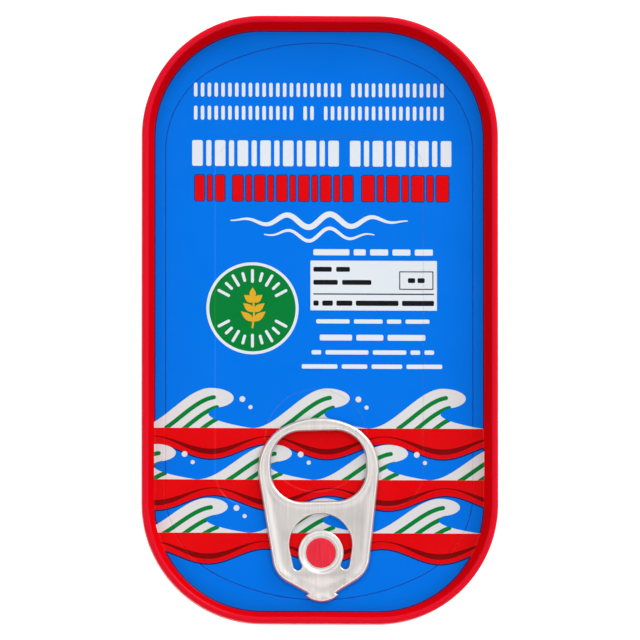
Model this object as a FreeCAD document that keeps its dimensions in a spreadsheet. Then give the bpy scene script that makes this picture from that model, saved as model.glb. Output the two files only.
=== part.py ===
import FreeCAD, Part
import math
import os

import Sketcher

# Shut two-piece tin of fish with an easy-open end and a ring pull, lying on its base.
# Frame: +Z up, origin on the ground under the middle of the tin, +Y along its length
# towards the end away from the pull's rivet, +X across it. Millimetres.
#
# can_body  drawn tin with the food in it, one closed solid up to the lid's underside
# lid       easy-open end: double seam with the rim of the wall that is rolled into it,
#           chuck wall, scored panel and the rivet raised from it
# tab       ring pull staked down by the rivet

SIZES = [
    # the whole tin, over the double seam
    ("tin_length", 105.0, "outside length over the seam"),
    ("tin_width", 61.35, "outside width over the seam"),
    ("tin_height", 29.5, "height from the base to the top of the seam"),
    ("tin_corner", 20.75, "outside corner radius of the seam"),
    # lid
    ("seam_height", 2.9, "height of the double seam"),
    ("seam_inset", 1.05, "seam's inner face at the crown, in from its outside"),
    ("seam_crown", 0.5, "rounding of the seam's crown"),
    ("seam_foot", 0.35, "rounding of the seam's rolled lower edge"),
    ("panel_depth", 4.0, "panel below the crown of the seam"),
    ("chuck_angle", 16.5, "lean of the chuck wall, degrees"),
    ("chuck_foot", 0.35, "radius between the chuck wall and the panel"),
    ("plate", 0.3, "thickness of the sheet metal"),
    ("score_inset_x", 4.17, "score line in from the seam at the sides"),
    ("score_inset_y", 4.37, "score line in from the seam at the ends"),
    ("score_end", 38.9, "radius of the score line across each end"),
    ("score_corner", 16.2, "radius of the score line at each corner"),
    ("score_cut", 0.25, "width of the score line"),
    ("score_depth", 0.1, "depth of the score line"),
    ("recess_half_x", 18.1, "half width of the sunk middle of the panel"),
    ("recess_half_y", 32.1, "half length of the sunk middle of the panel"),
    ("recess_corner", 6.0, "corner radius of the sunk middle"),
    ("recess_depth", 0.12, "depth of the sunk middle"),
    ("recess_lean", 60.0, "lean of the step round the sunk middle, degrees"),
    ("well_across", -0.5, "middle of the finger well, across"),
    ("well_along", -20.6, "middle of the finger well, along"),
    ("well_radius", 9.0, "radius of the finger well under the ring's end"),
    ("well_depth", 0.2, "depth of the finger well"),
    # drawn body
    ("wall_inset", 1.3, "body's wall under the seam, in from the seam's outside"),
    ("wall_taper", 2.3, "draw taper of the wall, degrees"),
    ("base_edge", 3.0, "rounding of the base's edge"),
    ("stand_inset", 7.0, "inner edge of the ring it stands on, in from the base's outline"),
    ("base_recess", 0.6, "depth of the base's sunk middle"),
    ("base_lean", 45.0, "lean of the step round the base's sunk middle, degrees"),
    # rivet
    ("rivet_across", 0.27, "rivet off the middle line"),
    ("rivet_along", -40.06, "rivet along the tin"),
    ("rivet_shank", 1.5, "radius of the rivet's shank"),
    ("rivet_head", 2.6, "radius of the rivet's head"),
    ("rivet_plate", 0.4, "thickness of the rivet's head"),
    ("rivet_round", 0.15, "rounding of the rivet's head"),
    # ring pull, about the rivet's middle; its length runs along the tin
    ("tab_turn", 1.6, "turn of the pull about the rivet, degrees"),
    ("tab_thick", 1.2, "height of the pull's rolled edge"),
    ("tab_top", 23.3, "far end of the ring"),
    ("tab_top_arc", 13.0, "radius across the ring's end"),
    ("tab_shoulder", 8.45, "radius of the ring's shoulders"),
    ("tab_shoulder_x", 2.0, "middle of the shoulder's arc across"),
    ("tab_hip", 5.1, "radius of the corners at the nose end"),
    ("tab_hip_x", 3.35, "middle of that arc across"),
    ("tab_hip_y", -0.6, "middle of that arc along"),
    ("notch_x", 2.45, "root of the notch beside the nose, across"),
    ("notch_y", -6.98, "root of the notch beside the nose, along"),
    ("nose_tip", -8.5, "tip of the nose"),
    ("nose_radius", 4.15, "radius of the nose"),
    ("nose_half", 2.9, "half width of the nose"),
    ("hole_half_x", 8.2, "half width of the finger hole"),
    ("hole_half_y", 6.08, "half length of the finger hole"),
    ("hole_corner", 5.3, "corner radius of the finger hole"),
    ("hole_along", 14.97, "middle of the finger hole"),
    ("slot_outer", 5.4, "outer radius of the slot round the island"),
    ("slot_outer_y", 1.4, "middle of that radius"),
    ("slot_end", 0.72, "radius of the slot's ends"),
    ("slot_end_y", -2.2, "middle of the slot's ends"),
    ("island", 3.92, "radius of the island that the rivet holds"),
    ("dish", 3.3, "radius of the dish round the rivet"),
    ("dish_floor", 0.5, "thickness of the island under the rivet's head"),
    ("tab_roll", 0.5, "rounding of the pull's rolled edges"),
    ("slot_roll", 0.25, "rounding of the edges round the slot"),
]

doc = FreeCAD.newDocument("FishTin")
sheet = doc.addObject("Spreadsheet::Sheet", "Sizes")
for row, (alias, size, note) in enumerate(SIZES, start=1):
    sheet.set("A%d" % row, alias)
    sheet.set("B%d" % row, str(size))
    sheet.setAlias("B%d" % row, alias)
    sheet.set("C%d" % row, note)
doc.recompute()


# ---- sketches -----------------------------------------------------------------------


def origin_plane(body, role):
    """One of the body's own origin planes, by its role."""
    for item in body.Origin.OriginFeatures:
        if item.Role == role:
            return item
    raise ValueError(role)


def flat_sketch(body, name, height):
    """An empty sketch parallel to the ground; height is an expression over the sheet."""
    sketch = body.newObject("Sketcher::SketchObject", name)
    sketch.AttachmentSupport = [(origin_plane(body, "XY_Plane"), "")]
    sketch.MapMode = "FlatFace"
    sketch.setExpression("AttachmentOffset.Base.z", height)
    return sketch


def drive(sketch, kind, items, expression):
    """Add a size to the sketch and bind it to the sheet."""
    here = float(sketch.evalExpression(expression))
    number = sketch.addConstraint(Sketcher.Constraint(kind, *items, here))
    sketch.setExpression("Constraints[%d]" % number, expression)


def relate(sketch, kind, *items):
    sketch.addConstraint(Sketcher.Constraint(kind, *items))


def line(start, end):
    return Part.LineSegment(FreeCAD.Vector(*start, 0), FreeCAD.Vector(*end, 0))


def arc(middle, radius, first, last):
    """Anticlockwise arc between two angles in degrees."""
    circle = Part.Circle(FreeCAD.Vector(*middle, 0), FreeCAD.Vector(0, 0, 1), radius)
    return Part.ArcOfCircle(circle, math.radians(first), math.radians(last))


def angle_to(point, middle):
    return math.degrees(math.atan2(point[1] - middle[1], point[0] - middle[0]))


def rounded_outline(sketch, half_x, half_y, corner, end=None, along="0"):
    """Closed outline with four equal corners, centred across and at y = along.

    All sizes are expressions. The ends are straight, or arcs of the radius end.
    """
    hx, hy, r, y0 = (float(sketch.evalExpression(t)) for t in (half_x, half_y, corner, along))
    cx = hx - r
    if end:
        big = float(sketch.evalExpression(end))
        far = hy - big
        cy = far + math.sqrt((big - r) ** 2 - cx**2)
        meet = angle_to((cx, cy), (0, far))
        ends = [
            arc((0, y0 + far), big, meet, 180 - meet),
            arc((0, y0 - far), big, 180 + meet, 360 - meet),
        ]
    else:
        cy = hy - r
        meet = 90
        ends = [line((cx, y0 + hy), (-cx, y0 + hy)), line((-cx, y0 - hy), (cx, y0 - hy))]
    first = sketch.GeometryCount
    sketch.addGeometry(
        [
            line((hx, y0 - cy), (hx, y0 + cy)),
            arc((cx, y0 + cy), r, 0, meet),
            ends[0],
            arc((-cx, y0 + cy), r, 180 - meet, 180),
            line((-hx, y0 + cy), (-hx, y0 - cy)),
            arc((-cx, y0 - cy), r, 180, 180 + meet),
            ends[1],
            arc((cx, y0 - cy), r, 360 - meet, 360),
        ],
        False,
    )
    right, right_top, top, left_top, left, left_low, low, right_low = range(first, first + 8)
    for step in range(8):
        relate(sketch, "Tangent", first + step, 2, first + (step + 1) % 8, 1)
    relate(sketch, "Vertical", right)
    relate(sketch, "Vertical", left)
    for other in (left_top, left_low, right_low):
        relate(sketch, "Equal", right_top, other)
    relate(sketch, "Symmetric", right, 1, left, 2, -2)
    drive(sketch, "Radius", (right_top,), corner)
    drive(sketch, "DistanceX", (-1, 1, right, 1), half_x)
    if end:
        relate(sketch, "PointOnObject", top, 3, -2)
        relate(sketch, "Equal", top, low)
        drive(sketch, "Radius", (top,), end)
        drive(sketch, "DistanceY", (-1, 1, top, 3), "%s + (%s) - (%s)" % (along, half_y, end))
        drive(sketch, "DistanceY", (-1, 1, low, 3), "%s - (%s) + (%s)" % (along, half_y, end))
    else:
        relate(sketch, "Horizontal", top)
        drive(sketch, "DistanceY", (-1, 1, top, 1), "%s + (%s)" % (along, half_y))
        drive(sketch, "DistanceY", (-1, 1, low, 1), "%s - (%s)" % (along, half_y))


def touch_angle(first, first_radius, second, second_radius):
    """Direction, in degrees, in which a line touches two circles on their right-hand side."""
    across = first[0] - second[0]
    along = first[1] - second[1]
    reach = math.hypot(across, along)
    lean = math.acos((second_radius - first_radius) / reach)
    return math.degrees(math.atan2(along, across) + lean)


def at_angle(middle, radius, angle):
    turn = math.radians(angle)
    return (middle[0] + radius * math.cos(turn), middle[1] + radius * math.sin(turn))


def mirrored(piece):
    """The same line or arc on the other side of the Y axis, still run anticlockwise."""
    if isinstance(piece, Part.LineSegment):
        return line((-piece.EndPoint.x, piece.EndPoint.y), (-piece.StartPoint.x, piece.StartPoint.y))
    first, last = (180 - math.degrees(a) for a in (piece.LastParameter, piece.FirstParameter))
    return arc((-piece.Center.x, piece.Center.y), piece.Radius, first, last)


def mirrored_outline(sketch, low, side, top, joints, low_runs_back=False):
    """Closed outline with equal sides.

    low and top are arcs across the Y axis, and side is the list of lines and arcs up the
    right-hand side between them. joints says how each meets the next, from low to top.
    Returns the geometry numbers of low, of each piece of the right-hand side, and of top.
    """
    first = sketch.GeometryCount
    pieces = [low] + side + [top]
    sketch.addGeometry(pieces + [mirrored(piece) for piece in side], False)
    right = list(range(first, first + len(pieces)))
    left = [right[0]] + list(range(right[-1] + 1, right[-1] + 1 + len(side))) + [right[-1]]
    low_right, low_left = (1, 2) if low_runs_back else (2, 1)
    for step, joint in enumerate(joints):
        leaves = low_right if step == 0 else 2
        relate(sketch, joint, right[step], leaves, right[step + 1], 1)
        leaves = low_left if step == 0 else 1
        relate(sketch, "Coincident", left[step], leaves, left[step + 1], 2)
        relate(sketch, "Symmetric", right[step + 1], 1, left[step + 1], 2, -2)
    for number, piece, other in zip(right[1:-1], side, left[1:-1]):
        if not isinstance(piece, Part.LineSegment):
            relate(sketch, "Equal", number, other)
    return right


def circle_outline(sketch, radius, middle=None):
    """A circle, its radius an expression and its middle a pair of them, or the origin."""
    x, y = (float(sketch.evalExpression(t)) for t in middle or ("0", "0"))
    size = float(sketch.evalExpression(radius))
    circle = Part.Circle(FreeCAD.Vector(x, y, 0), FreeCAD.Vector(0, 0, 1), size)
    number = sketch.addGeometry(circle, False)
    drive(sketch, "Radius", (number,), radius)
    if middle:
        drive(sketch, "DistanceX", (-1, 1, number, 3), middle[0])
        drive(sketch, "DistanceY", (-1, 1, number, 3), middle[1])
    else:
        relate(sketch, "Coincident", number, 3, -1, 1)


# ---- features -----------------------------------------------------------------------


def size_of(expression):
    return float(sheet.evalExpression(expression))


def new_body(label):
    body = doc.addObject("PartDesign::Body", label)
    body.Label = label
    return body


def pad(body, name, sketch, length, down=False, taper=None):
    feature = body.newObject("PartDesign::Pad", name)
    feature.Profile = sketch
    feature.Reversed = down
    feature.setExpression("Length", length)
    if taper:
        feature.setExpression("TaperAngle", taper)
    doc.recompute()
    return feature


def pocket(body, name, sketch, depth, up=False, taper=None):
    """Cut from the sketch downwards, or upwards from a face that looks down."""
    before = body.Shape.Volume
    feature = body.newObject("PartDesign::Pocket", name)
    feature.Profile = sketch
    feature.Reversed = up
    feature.setExpression("Length", depth)
    if taper:
        feature.setExpression("TaperAngle", taper)
    doc.recompute()
    if feature.Shape.Volume >= before:
        raise RuntimeError("%s cuts nothing" % name)
    return feature


def edges_at(feature, height, chosen=None):
    """Names of the feature's level edges at a height, all or those that chosen accepts."""
    names = []
    for number, edge in enumerate(feature.Shape.Edges, start=1):
        box = edge.BoundBox
        level = abs(box.ZMin - height) < 1e-4 and abs(box.ZMax - height) < 1e-4
        if level and (chosen is None or chosen(edge.CenterOfMass)):
            names.append("Edge%d" % number)
    if not names:
        raise RuntimeError("no edge of %s at %g" % (feature.Name, height))
    return names


def fillet(body, name, base, edges, radius):
    feature = body.newObject("PartDesign::Fillet", name)
    feature.Base = (base, edges)
    feature.setExpression("Radius", radius)
    doc.recompute()
    return feature


# ---- can_body: drawn tin, full up to the lid ------------------------------------------

SEAM_LOW = "Sizes.tin_height - Sizes.seam_height"
PANEL = "Sizes.tin_height - Sizes.panel_depth"
RIM_HEIGHT = "Sizes.panel_depth + Sizes.plate - Sizes.seam_height"
RIVET = ("Sizes.rivet_across", "Sizes.rivet_along")
WALL_DRAW = "(%s) * tan(Sizes.wall_taper * 1 deg)" % SEAM_LOW
# where the wall meets the lid's underside
FILL_TOP = "Sizes.tin_height - Sizes.panel_depth - Sizes.plate"
FILL_INSET = "(Sizes.wall_inset + (%s) * tan(Sizes.wall_taper * 1 deg))" % RIM_HEIGHT


def inset_outline(sketch, inset):
    """The tin's outline, in by an expression."""
    rounded_outline(
        sketch,
        "Sizes.tin_width / 2 - %s" % inset,
        "Sizes.tin_length / 2 - %s" % inset,
        "Sizes.tin_corner - %s" % inset,
    )


can_body = new_body("can_body")
wall_sketch = flat_sketch(can_body, "WallOutline", FILL_TOP)
inset_outline(wall_sketch, FILL_INSET)
wall = pad(can_body, "Wall", wall_sketch, FILL_TOP, down=True, taper="-Sizes.wall_taper")
fillet(can_body, "BaseRound", wall, edges_at(wall, 0), "Sizes.base_edge")
stand_sketch = flat_sketch(can_body, "StandOutline", "0")
inset_outline(stand_sketch, "(Sizes.wall_inset + %s + Sizes.stand_inset)" % WALL_DRAW)
pocket(can_body, "BaseRecess", stand_sketch, "Sizes.base_recess", up=True, taper="-Sizes.base_lean")

# ---- lid: seam, chuck wall, scored panel, rivet ---------------------------------------

lid = new_body("lid")
seam_sketch = flat_sketch(lid, "SeamOutline", SEAM_LOW)
inset_outline(seam_sketch, "0")
seam = pad(lid, "Seam", seam_sketch, "Sizes.seam_height")
fillet(lid, "SeamFoot", seam, edges_at(seam, size_of(SEAM_LOW)), "Sizes.seam_foot")
rim_sketch = flat_sketch(lid, "RimOutline", SEAM_LOW)
inset_outline(rim_sketch, "Sizes.wall_inset")
pad(lid, "Rim", rim_sketch, RIM_HEIGHT, down=True, taper="-Sizes.wall_taper")
basin_sketch = flat_sketch(lid, "BasinOutline", "Sizes.tin_height")
inset_outline(basin_sketch, "Sizes.seam_inset")
basin = pocket(lid, "Basin", basin_sketch, "Sizes.panel_depth", taper="-Sizes.chuck_angle")
crown = fillet(lid, "Crown", basin, edges_at(basin, size_of("Sizes.tin_height")), "Sizes.seam_crown")
fillet(lid, "ChuckFoot", crown, edges_at(crown, size_of(PANEL)), "Sizes.chuck_foot")

# the middle of the panel is pressed down a little, and the finger well a little more
recess_sketch = flat_sketch(lid, "RecessOutline", PANEL)
rounded_outline(recess_sketch, "Sizes.recess_half_x", "Sizes.recess_half_y", "Sizes.recess_corner")
pocket(lid, "Recess", recess_sketch, "Sizes.recess_depth", taper="-Sizes.recess_lean")
well_sketch = flat_sketch(lid, "WellOutline", PANEL)
circle_outline(well_sketch, "Sizes.well_radius", ("Sizes.well_across", "Sizes.well_along"))
pocket(lid, "FingerWell", well_sketch, "Sizes.well_depth", taper="-Sizes.recess_lean")

# the score line is a shallow cut between two outlines
score_sketch = flat_sketch(lid, "ScoreOutline", PANEL)
for side in ("+", "-"):
    grow = "%s Sizes.score_cut / 2" % side
    rounded_outline(
        score_sketch,
        "Sizes.tin_width / 2 - Sizes.score_inset_x " + grow,
        "Sizes.tin_length / 2 - Sizes.score_inset_y " + grow,
        "Sizes.score_corner " + grow,
        end="Sizes.score_end " + grow,
    )
pocket(lid, "Score", score_sketch, "Sizes.score_depth")

# the rivet is drawn up out of the panel and headed over the pull
shank_sketch = flat_sketch(lid, "ShankOutline", PANEL)
circle_outline(shank_sketch, "Sizes.rivet_shank", RIVET)
pad(lid, "Shank", shank_sketch, "Sizes.dish_floor")
head_sketch = flat_sketch(lid, "HeadOutline", PANEL + " + Sizes.dish_floor")
circle_outline(head_sketch, "Sizes.rivet_head", RIVET)
head = pad(lid, "Head", head_sketch, "Sizes.rivet_plate")
head_top = size_of(PANEL + " + Sizes.dish_floor + Sizes.rivet_plate")
fillet(lid, "HeadRound", head, edges_at(head, head_top), "Sizes.rivet_round")

# ---- tab: ring pull, about the rivet's middle -----------------------------------------

tab = new_body("tab")
tab.setExpression("Placement.Base.x", "Sizes.rivet_across")
tab.setExpression("Placement.Base.y", "Sizes.rivet_along")
tab.setExpression("Placement.Base.z", PANEL)
tab.setExpression("Placement.Rotation.Angle", "Sizes.tab_turn * 1 deg")


def pull_outline(sketch):
    """Nose, notches, hips, sides, shoulders and the ring's far end."""
    nose = (0, size_of("Sizes.nose_tip + Sizes.nose_radius"))
    nose_radius = size_of("Sizes.nose_radius")
    nose_half = size_of("Sizes.nose_half")
    notch = (size_of("Sizes.notch_x"), size_of("Sizes.notch_y"))
    hip = (size_of("Sizes.tab_hip_x"), size_of("Sizes.tab_hip_y"))
    hip_radius = size_of("Sizes.tab_hip")
    end = (0, size_of("Sizes.tab_top - Sizes.tab_top_arc"))
    end_radius = size_of("Sizes.tab_top_arc")
    shoulder_radius = size_of("Sizes.tab_shoulder")
    shoulder_x = size_of("Sizes.tab_shoulder_x")
    shoulder_rise = math.sqrt((end_radius - shoulder_radius) ** 2 - shoulder_x**2)
    shoulder = (shoulder_x, end[1] + shoulder_rise)
    nose_angle = math.degrees(math.asin(nose_half / nose_radius))
    slope = touch_angle(notch, 0, hip, hip_radius)
    lean = touch_angle(hip, hip_radius, shoulder, shoulder_radius)
    meet = angle_to(shoulder, end)
    low = arc(nose, nose_radius, 270 - nose_angle, 270 + nose_angle)
    side = [
        line(at_angle(nose, nose_radius, 270 + nose_angle), notch),
        line(notch, at_angle(hip, hip_radius, slope)),
        arc(hip, hip_radius, slope, lean),
        line(at_angle(hip, hip_radius, lean), at_angle(shoulder, shoulder_radius, lean)),
        arc(shoulder, shoulder_radius, lean, meet),
    ]
    top = arc(end, end_radius, meet, 180 - meet)
    joints = ["Coincident", "Coincident", "Tangent", "Tangent", "Tangent", "Tangent"]
    low, cut, rise, hip, _, shoulder, top = mirrored_outline(sketch, low, side, top, joints)
    drive(sketch, "Radius", (low,), "Sizes.nose_radius")
    drive(sketch, "DistanceY", (-1, 1, low, 3), "Sizes.nose_tip + Sizes.nose_radius")
    drive(sketch, "DistanceX", (-1, 1, cut, 1), "Sizes.nose_half")
    drive(sketch, "DistanceX", (-1, 1, rise, 1), "Sizes.notch_x")
    drive(sketch, "DistanceY", (-1, 1, rise, 1), "Sizes.notch_y")
    drive(sketch, "Radius", (hip,), "Sizes.tab_hip")
    drive(sketch, "DistanceX", (-1, 1, hip, 3), "Sizes.tab_hip_x")
    drive(sketch, "DistanceY", (-1, 1, hip, 3), "Sizes.tab_hip_y")
    drive(sketch, "Radius", (shoulder,), "Sizes.tab_shoulder")
    drive(sketch, "DistanceX", (-1, 1, shoulder, 3), "Sizes.tab_shoulder_x")
    drive(sketch, "Radius", (top,), "Sizes.tab_top_arc")
    drive(sketch, "DistanceY", (-1, 1, top, 3), "Sizes.tab_top - Sizes.tab_top_arc")


def slot_outline(sketch):
    """Slot that leaves the rivet's island hanging on at the nose end."""
    island = size_of("Sizes.island")
    outer = (0, size_of("Sizes.slot_outer_y"))
    outer_radius = size_of("Sizes.slot_outer")
    end_radius = size_of("Sizes.slot_end")
    end_y = size_of("Sizes.slot_end_y")
    end = (math.sqrt((island + end_radius) ** 2 - end_y**2), end_y)
    meet = angle_to(end, (0, 0))
    lean = touch_angle(end, end_radius, outer, outer_radius)
    low = arc((0, 0), island, meet, 180 - meet)
    side = [
        arc(end, end_radius, 180 + meet, 360 + lean),
        line(at_angle(end, end_radius, lean), at_angle(outer, outer_radius, lean)),
    ]
    top = arc(outer, outer_radius, lean, 180 - lean)
    joints = ["Tangent", "Tangent", "Tangent"]
    low, cap, _, top = mirrored_outline(sketch, low, side, top, joints, low_runs_back=True)
    drive(sketch, "Radius", (low,), "Sizes.island")
    drive(sketch, "DistanceY", (-1, 1, low, 3), "0")
    drive(sketch, "Radius", (cap,), "Sizes.slot_end")
    drive(sketch, "DistanceY", (-1, 1, cap, 3), "Sizes.slot_end_y")
    drive(sketch, "Radius", (top,), "Sizes.slot_outer")
    drive(sketch, "DistanceY", (-1, 1, top, 3), "Sizes.slot_outer_y")


blank_sketch = flat_sketch(tab, "PullOutline", "0")
pull_outline(blank_sketch)
pad(tab, "Blank", blank_sketch, "Sizes.tab_thick")
hole_sketch = flat_sketch(tab, "FingerHoleOutline", "Sizes.tab_thick")
rounded_outline(
    hole_sketch, "Sizes.hole_half_x", "Sizes.hole_half_y", "Sizes.hole_corner", along="Sizes.hole_along"
)
finger_hole = pocket(tab, "FingerHole", hole_sketch, "Sizes.tab_thick")
tab_thick = size_of("Sizes.tab_thick")


def outside_notch(middle):
    """False for the two short edges of the notches beside the nose, which stay sharp."""
    return middle.y > size_of("Sizes.notch_y") or abs(middle.x) < size_of("Sizes.notch_x / 2")


rolled = [
    name for height in (0, tab_thick) for name in edges_at(finger_hole, height, outside_notch)
]
fillet(tab, "RolledEdge", finger_hole, rolled, "Sizes.tab_roll")
slot_sketch = flat_sketch(tab, "SlotOutline", "Sizes.tab_thick")
slot_outline(slot_sketch)
slot = pocket(tab, "Slot", slot_sketch, "Sizes.tab_thick")


def beside_slot(middle):
    """True for an edge of the slot, and not of the rolled outline."""
    return math.hypot(middle.x, middle.y) < size_of("Sizes.slot_outer + Sizes.slot_outer_y")


slot_edges = edges_at(slot, tab_thick, beside_slot)
fillet(tab, "SlotRoll", slot, slot_edges, "Sizes.slot_roll")
dish_sketch = flat_sketch(tab, "DishOutline", "Sizes.tab_thick")
circle_outline(dish_sketch, "Sizes.dish")
pocket(tab, "Dish", dish_sketch, "Sizes.tab_thick - Sizes.dish_floor")
bore_sketch = flat_sketch(tab, "RivetHoleOutline", "Sizes.dish_floor")
circle_outline(bore_sketch, "Sizes.rivet_shank")
pocket(tab, "RivetHole", bore_sketch, "Sizes.dish_floor")

# ---- check and write ------------------------------------------------------------------

doc.recompute()
for item in doc.Objects:
    if "Invalid" in item.State or "Error" in item.State:
        raise RuntimeError("%s failed: %s" % (item.Name, item.State))
os.makedirs("parts", exist_ok=True)
for body in (can_body, lid, tab):
    shape = body.Shape
    if shape.isNull() or not shape.isValid() or len(shape.Solids) != 1:
        raise RuntimeError("%s isn't one valid solid" % body.Label)
    print("%-9s %9.1f mm3, %d faces" % (body.Label, shape.Volume, len(shape.Faces)))
for body in (can_body, lid, tab):
    body.Shape.exportStep("parts/%s.step" % body.Label)
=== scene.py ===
import math

import bmesh
import bpy
import numpy as np
from mathutils import Matrix, Vector
from mathutils.geometry import delaunay_2d_cdt


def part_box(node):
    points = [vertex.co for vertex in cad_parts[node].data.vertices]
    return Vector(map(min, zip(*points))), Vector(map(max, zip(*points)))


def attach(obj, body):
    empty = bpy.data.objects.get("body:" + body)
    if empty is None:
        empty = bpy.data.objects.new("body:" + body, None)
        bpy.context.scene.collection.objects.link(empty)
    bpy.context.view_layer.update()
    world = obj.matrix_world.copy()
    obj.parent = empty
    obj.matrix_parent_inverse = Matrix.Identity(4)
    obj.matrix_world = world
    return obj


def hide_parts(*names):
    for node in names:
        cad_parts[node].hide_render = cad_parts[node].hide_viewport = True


# Shut tin of fish lying on its base, put together from the drawn body upwards. Pieces are
# drawn in millimetres in the frame of the CAD and made in metres.

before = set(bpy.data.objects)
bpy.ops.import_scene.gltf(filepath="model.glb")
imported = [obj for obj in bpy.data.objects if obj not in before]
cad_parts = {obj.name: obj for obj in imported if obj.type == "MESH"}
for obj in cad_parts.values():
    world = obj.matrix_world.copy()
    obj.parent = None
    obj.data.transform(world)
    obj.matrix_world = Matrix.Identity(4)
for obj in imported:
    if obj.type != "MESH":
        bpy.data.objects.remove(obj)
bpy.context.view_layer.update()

# ---- tin body ------------------------------------------------------------------------
# Drawn from one disc of tinplate, so it has no side seam: walls with a slight draw taper,
# a soft edge at the base and a shallow sunk middle inside the ring that it stands on.
# Enamelled red outside, and rolled into the lid's double seam at the top.

MM = 0.001
seam_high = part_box("lid")[1] / MM
HALF_X, HALF_Y, TOP = seam_high
CORNER = 20.75  # outside corner radius of the seam
CORNER_STEPS, SIDE_STEPS, END_STEPS = 40, 30, 12  # mesh steps along each stretch
SEAM_LOW = TOP - 2.9  # lower edge of the double seam
WALL_INSET = 1.3  # wall in from the seam's outside
WALL_TAPER = math.radians(2.3)
WALL_PARTS = (0.01, 0.1, 0.3, 0.5, 0.7, 0.85)  # rings down the wall
BASE_ROUND, BASE_STEPS = 3.0, 12
STAND_WIDTH = 7.0  # from the wall's outline at the base to the inside of the standing ring
BASE_SUNK = 0.6
STAND_EDGE, STAND_STEP, STAND_STEPS = 0.2, 1.0, 8  # start, width and mesh steps of the rise to it
BASE_FLAT = 1.1  # from the standing ring to where the middle is flat
TURNED_IN = ((1.0, -1.5), (0.4, -0.02), (0, 0.02))  # wall's end in the lid: (in, up from the seam)


def tin_ring(inset, z):
    """The tin's outline as a ring of points, in by inset from the seam's outside, at height z."""
    x, y = HALF_X - CORNER, HALF_Y - CORNER
    middles = [(x, y), (-x, y), (-x, -y), (x, -y)]
    ring = []
    for quarter, middle in enumerate(middles):
        for step in range(CORNER_STEPS + 1):
            turn = (quarter + step / CORNER_STEPS) * math.pi / 2
            reach = CORNER - inset
            ring.append((middle[0] + reach * math.cos(turn), middle[1] + reach * math.sin(turn), z))
        steps = END_STEPS if quarter % 2 == 0 else SIDE_STEPS
        start, onward = ring[-1], middles[(quarter + 1) % 4]
        run = (onward[0] - middle[0], onward[1] - middle[1])
        for step in range(1, steps):
            part = step / steps
            ring.append((start[0] + run[0] * part, start[1] + run[1] * part, z))
    return ring


def loft(profile, closed=False):
    """Rings from (inset, height) pairs joined into one skin, capped or closed on itself."""
    points = [point for inset, z in profile for point in tin_ring(inset, z)]
    size = len(points) // len(profile)
    faces = []
    for number in range(len(profile) if closed else len(profile) - 1):
        low, high = number * size, (number + 1) % len(profile) * size
        for step in range(size):
            after = (step + 1) % size
            faces.append((low + step, low + after, high + after, high + step))
    if not closed:
        faces.append(tuple(range(size)))
        faces.append(tuple(range(len(points) - size, len(points))))
    return points, faces


def make_piece(name, points, faces, material, sharp=40):
    """A mesh from points in millimetres, smooth except along edges sharper than an angle."""
    mesh = bpy.data.meshes.new(name)
    shape = bmesh.new()
    corners = [shape.verts.new((x * MM, y * MM, z * MM)) for x, y, z in points]
    for face in faces:
        shape.faces.new([corners[number] for number in face]).smooth = True
    bmesh.ops.recalc_face_normals(shape, faces=shape.faces)
    for edge in shape.edges:
        if edge.is_manifold:
            edge.smooth = edge.calc_face_angle() < math.radians(sharp)
    shape.to_mesh(mesh)
    shape.free()
    piece = bpy.data.objects.new(name, mesh)
    bpy.context.collection.objects.link(piece)
    mesh.materials.append(material)
    return piece


def linear(colour):
    """An sRGB hex colour as the linear colour that a shader takes."""
    parts = [int(colour[start : start + 2], 16) / 255 for start in (1, 3, 5)]
    return [p / 12.92 if p <= 0.04045 else ((p + 0.055) / 1.055) ** 2.4 for p in parts] + [1]


def add(material, kind, settings, links):
    """Add a shader node with its settings and the sockets that its inputs are linked from."""
    tree = material.node_tree
    made = tree.nodes.new("ShaderNode" + kind)
    for name, value in settings.items():
        if isinstance(name, int) or name in made.inputs:
            made.inputs[name].default_value = value
        else:
            setattr(made, name, value)
    for name, source in links.items():
        tree.links.new(source, made.inputs[name])
    return made


def new_material(name):
    material = bpy.data.materials.new(name)
    material.use_nodes = True
    material.node_tree.nodes.clear()
    return material


PEEL_WIDE, PEEL_DEEP = 0.6, 0.003
PATCH_WIDE, RUB_WIDE = 14.0, 6.0
RUBBED = (-0.02, 0.03)  # change of roughness between the least and the most handled


def enamel(name, colour, deeper, roughness, shine):
    """Baked enamel or ink on tinplate.

    Roller-coated, so it has a faint orange peel about 0.6 mm across, the colour thins and
    deepens a little in patches of about 14 mm, and handling leaves it here and there duller.
    """
    material = new_material(name)
    place = add(material, "TexCoord", {}, {}).outputs["Object"]
    patches = add(
        material, "TexNoise", {"Scale": 1 / (PATCH_WIDE * MM), "Detail": 1}, {"Vector": place}
    )
    tone = add(
        material,
        "Mix",
        {"data_type": "RGBA", 6: linear(colour), 7: linear(deeper)},
        {0: patches.outputs["Fac"]},
    )
    peel = add(material, "TexNoise", {"Scale": 1 / (PEEL_WIDE * MM), "Detail": 2}, {"Vector": place})
    relief = add(
        material,
        "Bump",
        {"Strength": 0.5, "Distance": PEEL_DEEP * MM},
        {"Height": peel.outputs["Fac"]},
    )
    rub = add(material, "TexNoise", {"Scale": 1 / (RUB_WIDE * MM), "Detail": 3}, {"Vector": place})
    gloss = add(
        material,
        "MapRange",
        {
            "From Min": 0.3,
            "From Max": 0.7,
            "To Min": roughness + RUBBED[0],
            "To Max": roughness + RUBBED[1],
        },
        {"Value": rub.outputs["Fac"]},
    )
    surface = add(
        material,
        "BsdfPrincipled",
        {"IOR": 1.5, "Specular IOR Level": shine},
        {
            "Base Color": tone.outputs[2],
            "Roughness": gloss.outputs["Result"],
            "Normal": relief.outputs["Normal"],
        },
    )
    add(material, "OutputMaterial", {}, {"Surface": surface.outputs["BSDF"]})
    return material


def ease(part):
    """Smooth step from 0 to 1."""
    part = np.clip(part, 0, 1)
    return part * part * (3 - 2 * part)


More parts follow.
